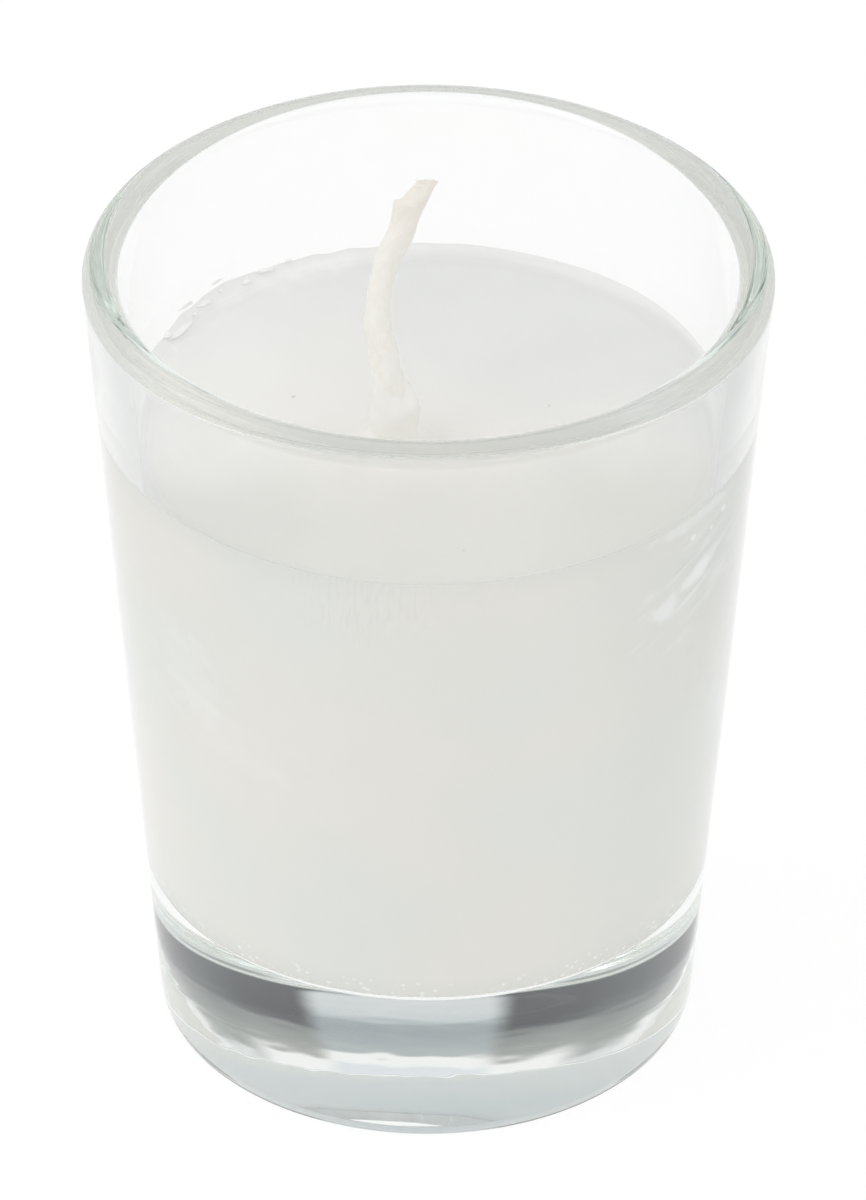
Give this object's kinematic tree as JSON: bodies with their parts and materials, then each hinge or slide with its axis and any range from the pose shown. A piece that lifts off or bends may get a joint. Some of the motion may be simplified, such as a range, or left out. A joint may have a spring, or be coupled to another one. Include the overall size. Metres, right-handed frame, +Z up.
{
  "type": "unscented glass candle",
  "caption": "White unscented wax candle with a bent braided wick, poured in a small tapered clear glass with a rounded lip and a thick solid base.",
  "frame": {"origin": "on the glass's axis, in the plane of the ring that the glass stands on", "axes": "+Z up along the axis of the glass, +X to the picture's right, +Y away from its camera"},
  "size_m": [0.0506, 0.0506, 0.0688],
  "materials": {
    "glass": "clear pressed soda-lime glass, fire-polished, faint green in thick places",
    "wax": "white paraffin wax, translucent, soft satin surface",
    "wick": "braided cotton soaked in wax, unburnt",
    "tinned_steel": "thin stamped tinned sheet"
  },
  "bodies": {
    "root": {"glass_cup": "glass", "wax_fill": "wax", "wick": "wick", "wick_sustainer": "tinned_steel"}
  },
  "joints": []
}
